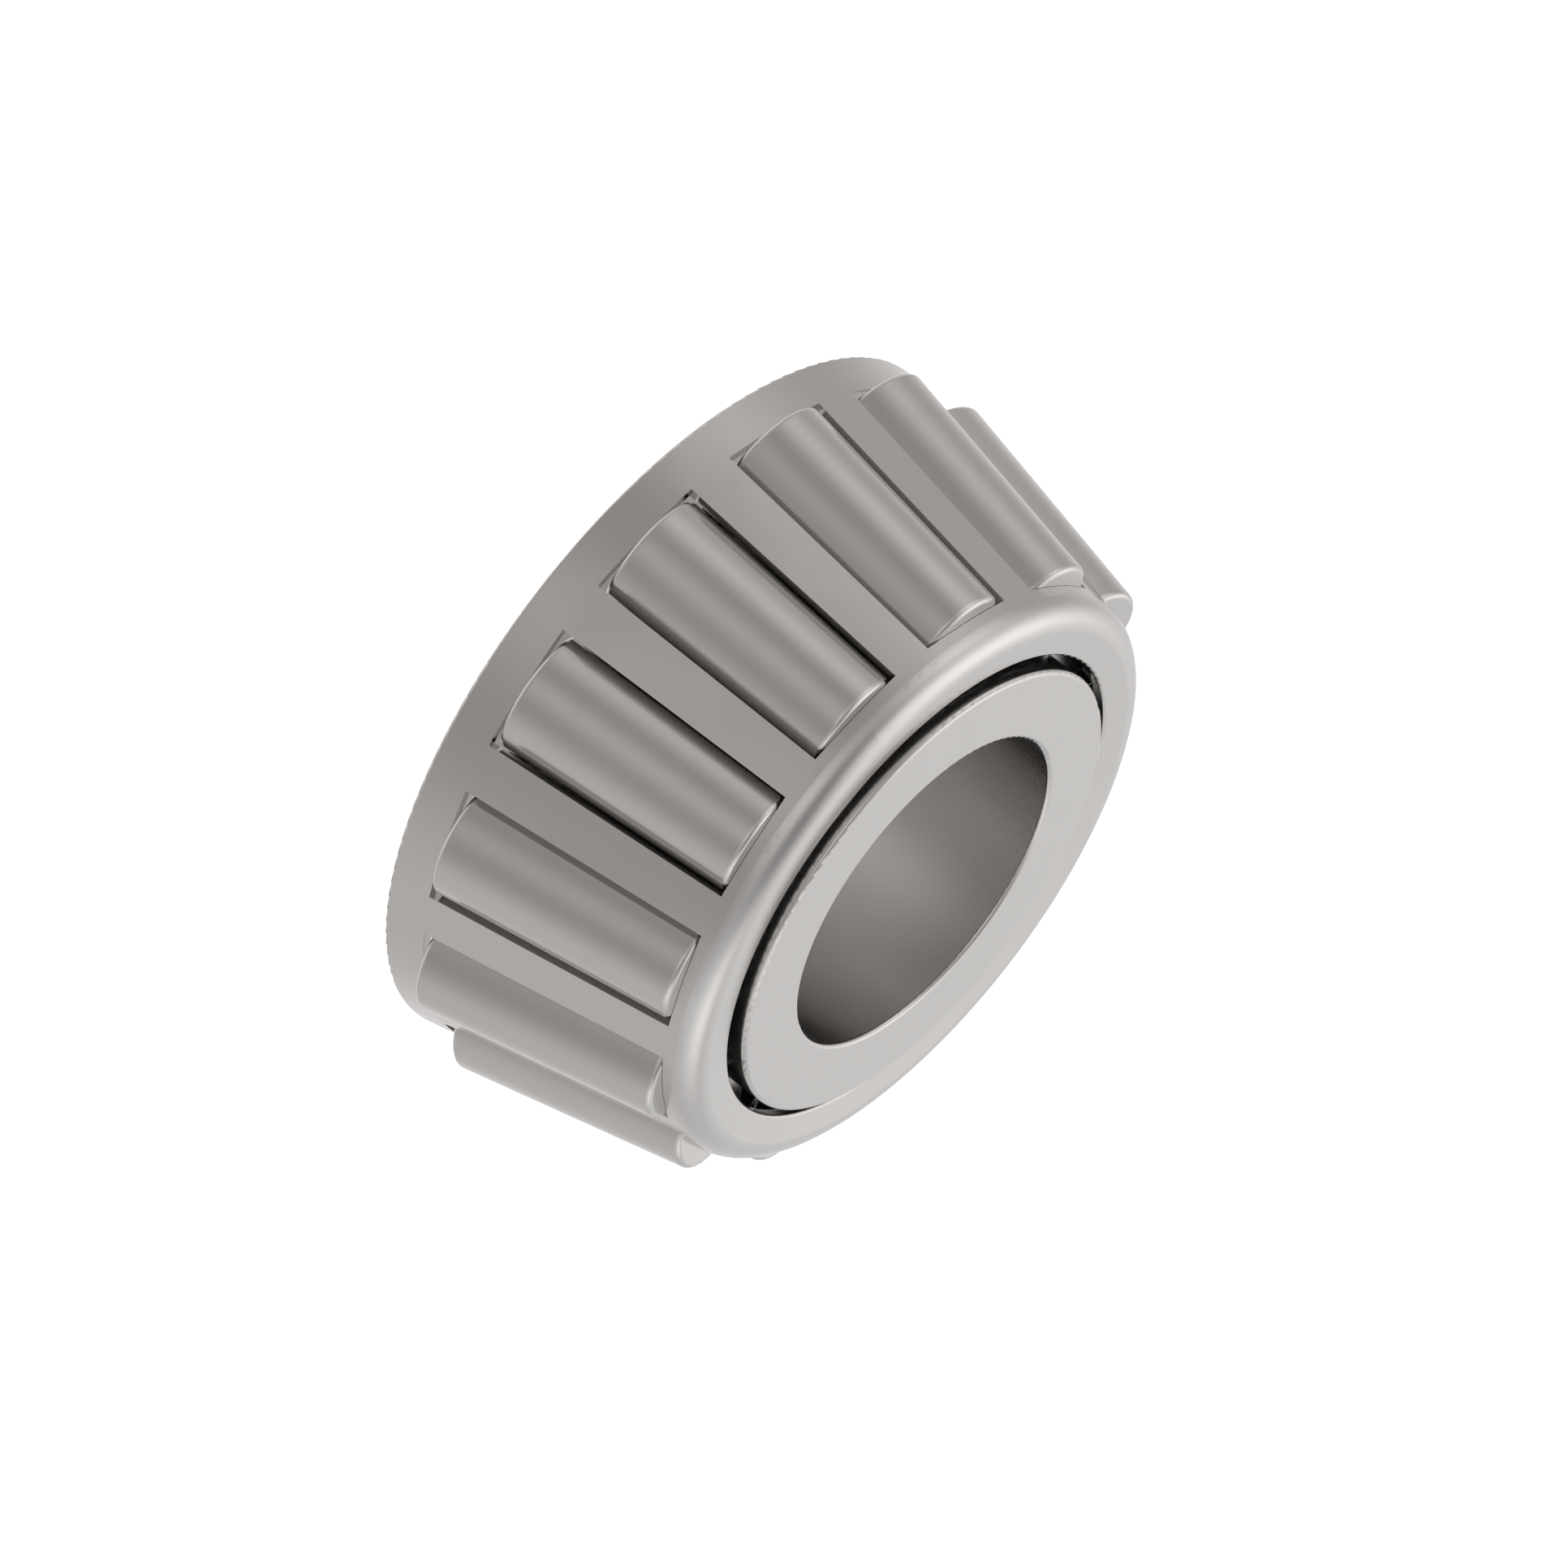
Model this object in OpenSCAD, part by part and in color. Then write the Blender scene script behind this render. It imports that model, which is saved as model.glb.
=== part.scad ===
// Cone assembly of a single-row tapered roller bearing.
// Units are millimetres. +Z is the bearing axis, pointing at the small end.
// z = 0 is the flat back face of the inner ring. Roller 01 lies on the +X side.

/* [Inner ring] */
// diameter of the plain bore that presses onto the shaft
bore_d = 25; // [24.9:0.05:25.1]
// width of the inner ring from back face to small face
ring_width = 24.2; // [24:0.1:24.4]
// outer diameter of the small retaining rib at the small face
small_rib_d = 35.8; // [35.5:0.1:36.1]
// outer diameter of the large guiding rib at the back face
big_rib_d = 44; // [43:0.2:44.6]
// edge radius where the bore meets the back face
back_edge_r = 1.5; // [1:0.1:1.8]
// edge radius where the bore meets the small face
bore_edge_r = 0.3; // [0.2:0.05:0.5]
// edge radius at the outer corner of the small face
small_edge_r = 0.3; // [0.2:0.05:0.4]
// depth of the relief grooves at both ends of the raceway
groove_depth = 0.35; // [0.25:0.05:0.5]

/* [Rollers] */
// half angle of the roller's own taper, in degrees
roller_taper = 1.98; // [1.96:0.01:2]
// lean of a roller's axis away from the bearing axis, in degrees
roller_lean = 10.61; // [10.58:0.01:10.63]
// distance along the roller axis from the common cone tip to the small end
roller_start = 113.15; // [113.1:0.05:113.2]
// length of a roller from end face to end face
roller_length = 18.35; // [18.25:0.05:18.4]
// edge radius at the small end of a roller
roller_small_edge = 0.4; // [0.3:0.05:0.6]
// edge radius at the large end of a roller
roller_big_edge = 0.35; // [0.2:0.05:0.5]

/* [Cage] */
// half angle of the cage's outer cone, in degrees
cage_angle = 11.76; // [11.74:0.01:11.78]
// thickness of the pressed sheet
sheet = 0.95; // [0.85:0.05:0.95]
// diameter of the round opening in the flange at the small end
flange_hole_d = 37.5; // [37.3:0.02:37.7]
// how far the edge of that opening is set back from the ring's small face
flange_setback = 0.68; // [0.5:0.02:0.8]
// slope of the flange down towards its opening, in degrees
flange_dish = 6; // [4:0.5:8]
// outside radius of the rolled shoulder between cone and flange
shoulder_r = 1.85; // [1.6:0.05:2.1]
// height of the cage rim above the ring's back face
rim_height = 0.1; // [0.05:0.05:0.3]
// half width of a pocket as seen from the bearing axis, in degrees
pocket_half = 9.9; // [9.88:0.02:9.98]

/* [Running clearances] */
// gap between a roller and the raceway
race_gap = 0.04; // [0.03:0.01:0.06]
// gap between the large end of a roller and the large rib
rib_gap = 0.09; // [0.08:0.01:0.1]
// gap between the small end of a roller and the small rib
small_rib_gap = 0.25; // [0.15:0.05:0.4]
// gap between the small end of a roller and its pocket
pocket_small_gap = 0.02; // [0.02:0.01:0.08]
// gap between the large end of a roller and its pocket
pocket_big_gap = 0.38; // [0.3:0.02:0.44]

/* [Hidden] */
$fn = 120;
roller_count = 13;
tip_z = 132.31;
race_angle = roller_lean - roller_taper;
roller_end = roller_start + roller_length;
rib_r = big_rib_d / 2;
small_r = small_rib_d / 2;
bore_r = bore_d / 2;
hole_r = flange_hole_d / 2;
flange_z = ring_width - flange_setback;
flange_under_z = flange_z - sheet / cos(flange_dish);
groove_run = 0.9;
groove_slope = 0.3;
race_start = roller_start / cos(roller_taper);
race_end = roller_end / cos(roller_taper);

steel = [0.72, 0.71, 0.70];
sheet_steel = [0.66, 0.65, 0.64];
roller_steel = [0.76, 0.76, 0.75];

// corner helpers: unit vector, angle between two edges, tangent points
function unit(v) = v / norm(v);
function half_angle(u, v) = acos(u * v) / 2;
function corner(a, p, b, r) =
    let (u = unit(a - p), v = unit(b - p), t = r / tan(half_angle(u, v)))
    [p + u * t, p + v * t];
function corner_centre(a, p, b, r) =
    let (u = unit(a - p), v = unit(b - p))
    p + unit(u + v) * r / sin(half_angle(u, v));

// point at distance s down the raceway line and h outward from it
function on_race(s, h) = [
    s * sin(race_angle) + h * cos(race_angle),
    tip_z - s * cos(race_angle) + h * sin(race_angle)
];
// height of the plane across a roller at axis distance l, at radius r
function end_plane(l, r) = tip_z - (l - r * sin(roller_lean)) / cos(roller_lean);
// outer and inner radius of the cage cone at height z
function cage_outer(z) = (tip_z - z) * tan(cage_angle);
function cage_inner(z) = cage_outer(z) - sheet / cos(cage_angle);
// where a flange surface, at height z over the opening's edge, meets the cone set in by inset
function flange_corner(z, inset) =
    let (
        slope = tan(flange_dish),
        flare = tan(cage_angle),
        reach = (tip_z - z + hole_r * slope) * flare - inset / cos(cage_angle),
        r = reach / (1 + slope * flare)
    )
    [r, z + (r - hole_r) * slope];

// the region beyond the arc of radius r that rounds a corner, carried on past the corner itself
module corner_sliver(a, p, b, r) {
    t = corner(a, p, b, r);
    c = corner_centre(a, p, b, r);
    overshoot = 1.5;
    difference() {
        polygon([for (q = [p, t[0], c, t[1]]) c + (q - c) * overshoot]);
        translate(c)
            circle(r = r);
    }
}

// flat outline with rounded corners; a negative radius rounds an inside corner
module rounded(p, r) {
    n = len(p);
    difference() {
        union() {
            polygon(p);
            for (i = [0:n - 1])
                if (r[i] < 0)
                    corner_sliver(p[(i + n - 1) % n], p[i], p[(i + 1) % n], -r[i]);
        }
        for (i = [0:n - 1])
            if (r[i] > 0)
                corner_sliver(p[(i + n - 1) % n], p[i], p[(i + 1) % n], r[i]);
    }
}

// local frame of a roller: Z runs down its axis from the common cone tip
module roller_frame() {
    translate([0, 0, tip_z])
        rotate([0, 180 - roller_lean, 0])
            children();
}

module inner_ring() {
    foot = on_race(race_end, -groove_depth);
    head = on_race(race_start, -groove_depth);
    color(steel)
        rotate_extrude()
            rounded(
                [
                    [bore_r, 0],
                    [rib_r, 0],
                    [rib_r, end_plane(roller_end + rib_gap, rib_r)],
                    [foot[0], end_plane(roller_end + rib_gap, foot[0])],
                    on_race(race_end - groove_run, -groove_depth),
                    on_race(race_end - groove_run - groove_slope, -race_gap),
                    on_race(race_start + groove_run + groove_slope, -race_gap),
                    on_race(race_start + groove_run, -groove_depth),
                    [head[0], end_plane(roller_start - small_rib_gap, head[0])],
                    [small_r, end_plane(roller_start - small_rib_gap, small_r)],
                    [small_r, ring_width],
                    [bore_r, ring_width]
                ],
                [
                    back_edge_r, 0.6, 0.3, 0, 0, 0, 0, 0, 0, 0.2,
                    small_edge_r, bore_edge_r
                ]
            );
}

// cutter for one roller pocket: radial sides, ends square to the roller axis
module pocket() {
    near = 19.5;
    far = 31;
    reach = 30;
    cut_start = roller_start - pocket_small_gap;
    cut_end = roller_end + pocket_big_gap;
    intersection() {
        linear_extrude(height = reach)
            polygon([
                [near, -near * tan(pocket_half)],
                [far, -far * tan(pocket_half)],
                [far, far * tan(pocket_half)],
                [near, near * tan(pocket_half)]
            ]);
        roller_frame()
            translate([-reach, -reach, cut_start])
                cube([2 * reach, 2 * reach, cut_end - cut_start]);
    }
}

module cage() {
    color(sheet_steel)
        difference() {
            rotate_extrude()
                rounded(
                    [
                        [cage_outer(rim_height), rim_height],
                        flange_corner(flange_z, 0),
                        [hole_r, flange_z],
                        [hole_r, flange_under_z],
                        flange_corner(flange_under_z, sheet),
                        [cage_inner(rim_height), rim_height]
                    ],
                    [0.2, shoulder_r, 0.2, 0.2, sheet - shoulder_r, 0.2]
                );
            for (i = [0:roller_count - 1])
                rotate([0, 0, i * 360 / roller_count])
                    pocket();
        }
}

module roller(number) {
    big = roller_end * tan(roller_taper);
    small = roller_start * tan(roller_taper);
    color(roller_steel)
        rotate([0, 0, (number - 1) * 360 / roller_count])
            roller_frame()
                rotate_extrude()
                    rounded(
                        [
                            [0, roller_start],
                            [small, roller_start],
                            [big, roller_end],
                            [0, roller_end]
                        ],
                        [0, roller_small_edge, roller_big_edge, 0]
                    );
}

module roller_01() { roller(1); }
module roller_02() { roller(2); }
module roller_03() { roller(3); }
module roller_04() { roller(4); }
module roller_05() { roller(5); }
module roller_06() { roller(6); }
module roller_07() { roller(7); }
module roller_08() { roller(8); }
module roller_09() { roller(9); }
module roller_10() { roller(10); }
module roller_11() { roller(11); }
module roller_12() { roller(12); }
module roller_13() { roller(13); }

inner_ring();
cage();
roller_01();
roller_02();
roller_03();
roller_04();
roller_05();
roller_06();
roller_07();
roller_08();
roller_09();
roller_10();
roller_11();
roller_12();
roller_13();
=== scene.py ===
"""Looks, camera and light for the cone assembly of a tapered roller bearing. Lengths are in metres."""

import math

import bmesh
import bpy
from mathutils import Matrix, Vector


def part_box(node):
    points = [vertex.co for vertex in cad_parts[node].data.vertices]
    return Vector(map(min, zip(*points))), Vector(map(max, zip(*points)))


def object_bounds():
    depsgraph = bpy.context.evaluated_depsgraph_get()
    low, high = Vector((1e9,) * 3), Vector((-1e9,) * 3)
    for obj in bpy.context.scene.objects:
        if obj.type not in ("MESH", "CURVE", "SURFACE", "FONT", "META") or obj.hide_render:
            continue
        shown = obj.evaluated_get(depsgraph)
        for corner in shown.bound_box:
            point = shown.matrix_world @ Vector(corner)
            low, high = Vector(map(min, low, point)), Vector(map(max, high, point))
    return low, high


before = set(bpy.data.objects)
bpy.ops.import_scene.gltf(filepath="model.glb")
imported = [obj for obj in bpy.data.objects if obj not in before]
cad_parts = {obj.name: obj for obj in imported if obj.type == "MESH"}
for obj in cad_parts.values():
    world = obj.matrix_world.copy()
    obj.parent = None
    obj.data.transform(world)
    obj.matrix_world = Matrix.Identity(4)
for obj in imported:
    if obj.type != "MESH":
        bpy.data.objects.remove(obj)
cad_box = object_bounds()

MM = 0.001
RING_FACE = Vector((0.0, 0.0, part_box("inner_ring")[1].z))
CONE_TIP = Vector((0.0, 0.0, 132.31 * MM))
VIEW_AZIMUTH = 16.415
VIEW_ELEVATION = 22.632


def direction(azimuth, elevation):
    """Unit vector at an azimuth and elevation in degrees, in the part's own frame."""
    azimuth, elevation = math.radians(azimuth), math.radians(elevation)
    flat = math.cos(elevation)
    return Vector((flat * math.cos(azimuth), flat * math.sin(azimuth), math.sin(elevation)))


def make_camera():
    """A long lens looking at the small end, turned so that the bearing axis leans down to the right."""
    roll = math.radians(127.285)
    distance = 0.90717
    face_right = 0.0095
    face_down = 0.007341
    far_clip = 20.0
    view = direction(VIEW_AZIMUTH, VIEW_ELEVATION)
    turn = view.to_track_quat("Z", "Y").to_matrix() @ Matrix.Rotation(roll, 3, "Z")
    right, up = turn.col[0], turn.col[1]
    data = bpy.data.cameras.new("camera")
    data.sensor_width = 36.0
    data.lens = 309.22
    data.clip_end = far_clip
    camera = bpy.data.objects.new("camera", data)
    camera.matrix_world = turn.to_4x4()
    camera.location = RING_FACE - right * face_right + up * face_down + view * distance
    bpy.context.scene.collection.objects.link(camera)
    bpy.context.scene.camera = camera


def add(tree, kind, inputs=None, **settings):
    """A new node. An input given as a socket is linked, and any other is set as a value."""
    node = tree.nodes.new(kind)
    for name, value in settings.items():
        setattr(node, name, value)
    for place, value in (inputs or {}).items():
        if isinstance(value, bpy.types.NodeSocket):
            tree.links.new(value, node.inputs[place])
        else:
            node.inputs[place].default_value = value
    return node


def calc(tree, operation, *values):
    """The result socket of a Math node."""
    return add(tree, "ShaderNodeMath", dict(enumerate(values)), operation=operation).outputs[0]


# Soft lights round the object: azimuth from the camera's own, elevation and half width in
# degrees, then brightness and colour.
WARM = (1.03, 0.97, 0.95)
NEUTRAL = (1.0, 0.975, 0.97)
COOL = (0.985, 0.99, 1.0)
SOFTBOXES = (
    ("key", -145, 45, 20, 1.0, NEUTRAL),
    ("key top", -100, 65, 15, 0.6, NEUTRAL),
    ("left", -75, 20, 20, 0.8, NEUTRAL),
    ("front", 0, 25, 20, 0.6, NEUTRAL),
    ("right", 90, 30, 30, 0.6, COOL),
    ("right high", 120, 50, 15, 0.6, NEUTRAL),
    ("back", 180, 15, 30, 0.25, COOL),
    ("back low", 180, -25, 45, 0.4, COOL),
    ("table", 0, -90, 45, 0.8, WARM),
)
AMBIENT = (0.04, 0.037, 0.036)


def make_lights():
    """A dome of broad soft lights on a dim surround. The camera itself sees a plain pale backdrop."""
    world = bpy.data.worlds.new("studio")
    world.use_nodes = True
    tree = world.node_tree
    tree.nodes.clear()
    ray = add(tree, "ShaderNodeTexCoord").outputs["Generated"]
    total = AMBIENT
    for name, azimuth, elevation, width, strength, colour in SOFTBOXES:
        centre = direction(VIEW_AZIMUTH + azimuth, elevation)
        sharpness = math.radians(width) ** -2
        facing = add(
            tree, "ShaderNodeVectorMath", {0: ray, 1: centre}, operation="DOT_PRODUCT", label=name
        )
        falloff = calc(tree, "MULTIPLY_ADD", facing.outputs["Value"], sharpness, -sharpness)
        glow = calc(tree, "MULTIPLY", calc(tree, "EXPONENT", falloff), strength)
        light = add(tree, "ShaderNodeVectorMath", {0: colour, "Scale": glow}, operation="SCALE")
        both = add(tree, "ShaderNodeVectorMath", {0: light.outputs[0], 1: total}, operation="ADD")
        total = both.outputs[0]
    dome = add(tree, "ShaderNodeBackground", {"Color": total})
    backdrop = add(tree, "ShaderNodeBackground", {"Color": (1.0, 1.0, 1.0, 1.0)})
    path = add(tree, "ShaderNodeLightPath")
    seen = add(
        tree,
        "ShaderNodeMixShader",
        {0: path.outputs["Is Camera Ray"], 1: dome.outputs[0], 2: backdrop.outputs[0]},
    )
    add(tree, "ShaderNodeOutputWorld", {"Surface": seen.outputs[0]})
    bpy.context.scene.world = world


def make_floor():
    """A plain white disc under the ring's back face, glowing so that it matches the backdrop."""
    radius = 1.5
    glow = 0.95
    material = bpy.data.materials.new("floor_white")
    material.use_nodes = True
    tree = material.node_tree
    shader = tree.nodes["Principled BSDF"]
    shader.inputs["Base Color"].default_value = (0.9, 0.9, 0.9, 1.0)
    shader.inputs["Roughness"].default_value = 0.9
    shader.inputs["Emission Color"].default_value = (1.0, 1.0, 1.0, 1.0)
    shader.inputs["Emission Strength"].default_value = glow
    mesh = bpy.data.meshes.new("floor")
    disc = bmesh.new()
    bmesh.ops.create_circle(disc, cap_ends=True, segments=128, radius=radius)
    disc.to_mesh(mesh)
    disc.free()
    mesh.materials.append(material)
    floor = bpy.data.objects.new("floor", mesh)
    floor.location.z = cad_box[0][2]
    floor.visible_glossy = False
    floor.visible_shadow = False
    bpy.context.scene.collection.objects.link(floor)


def steel(name, lines_across, roughness, grain):
    """Fine satin steel. lines_across maps a place to noise coordinates that run across its lines.

    roughness is the lowest and highest, and grain is the height of the lines in metres.
    """
    cloud_scale = 220.0
    line_scale = 9.0
    material = bpy.data.materials.new(name)
    material.use_nodes = True
    tree = material.node_tree
    shader = tree.nodes["Principled BSDF"]
    shader.inputs["Metallic"].default_value = 1.0
    place = add(tree, "ShaderNodeTexCoord").outputs["Object"]

    cloud = add(tree, "ShaderNodeTexNoise", {"Vector": place, "Scale": cloud_scale, "Detail": 3.0})
    tint = add(
        tree,
        "ShaderNodeMix",
        {0: cloud.outputs["Fac"], 6: (0.628, 0.617, 0.601, 1.0), 7: (0.652, 0.641, 0.625, 1.0)},
        data_type="RGBA",
    )
    tree.links.new(tint.outputs[2], shader.inputs["Base Color"])

    across = lines_across(tree, place)
    lines = add(
        tree,
        "ShaderNodeTexNoise",
        {"Vector": across, "Scale": line_scale, "Detail": 4.0, "Roughness": 0.6},
    )
    low, high = roughness
    gloss = add(
        tree,
        "ShaderNodeMapRange",
        {"Value": lines.outputs["Fac"], "From Min": 0.3, "From Max": 0.7, "To Min": low, "To Max": high},
    )
    tree.links.new(gloss.outputs[0], shader.inputs["Roughness"])
    bump = add(
        tree, "ShaderNodeBump", {"Height": lines.outputs["Fac"], "Strength": 1.0, "Distance": grain}
    )
    tree.links.new(bump.outputs[0], shader.inputs["Normal"])
    return material


def round_the_axis(tree, place):
    """Lines that run round the bearing axis: nearly constant along circles about it."""
    drift = 0.3
    part = add(tree, "ShaderNodeSeparateXYZ", {0: place})
    flat = add(tree, "ShaderNodeCombineXYZ", {0: part.outputs[0], 1: part.outputs[1]})
    radius = add(tree, "ShaderNodeVectorMath", {0: flat.outputs[0]}, operation="LENGTH").outputs["Value"]
    turn = add(tree, "ShaderNodeVectorMath", {0: flat.outputs[0]}, operation="NORMALIZE").outputs[0]
    slow = add(tree, "ShaderNodeVectorMath", {0: turn, "Scale": drift}, operation="SCALE").outputs[0]
    across = calc(tree, "MULTIPLY", calc(tree, "ADD", radius, part.outputs[2]), 1 / MM)
    lift = add(tree, "ShaderNodeCombineXYZ", {2: across})
    return add(tree, "ShaderNodeVectorMath", {0: slow, 1: lift.outputs[0]}, operation="ADD").outputs[0]


def round_the_roller(tree, place):
    """Lines that run round a roller: nearly constant at one distance from the common cone tip."""
    drift = 30.0
    away = add(tree, "ShaderNodeVectorMath", {0: place, 1: CONE_TIP}, operation="DISTANCE")
    slow = add(tree, "ShaderNodeVectorMath", {0: place, "Scale": drift}, operation="SCALE").outputs[0]
    lift = add(tree, "ShaderNodeCombineXYZ", {2: calc(tree, "MULTIPLY", away.outputs["Value"], 1 / MM)})
    return add(tree, "ShaderNodeVectorMath", {0: slow, 1: lift.outputs[0]}, operation="ADD").outputs[0]


def evenly(tree, place):
    """No direction: the fine grain of tumbled sheet."""
    return add(tree, "ShaderNodeVectorMath", {0: place, "Scale": 1 / MM}, operation="SCALE").outputs[0]


def finish_steel():
    """Gives every CAD node its steel."""
    roughness = (0.19, 0.21)
    grain = 0.0001 * MM
    ring = steel("ring_ground", round_the_axis, roughness, grain)
    roller = steel("roller_ground", round_the_roller, roughness, grain)
    cage = steel("cage_sheet", evenly, roughness, grain)
    for name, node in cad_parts.items():
        material = {"inner_ring": ring, "cage": cage}.get(name, roller)
        for slot in node.material_slots:
            slot.material = material


make_camera()
make_lights()
make_floor()
finish_steel()
bpy.context.scene.view_settings.view_transform = "Standard"
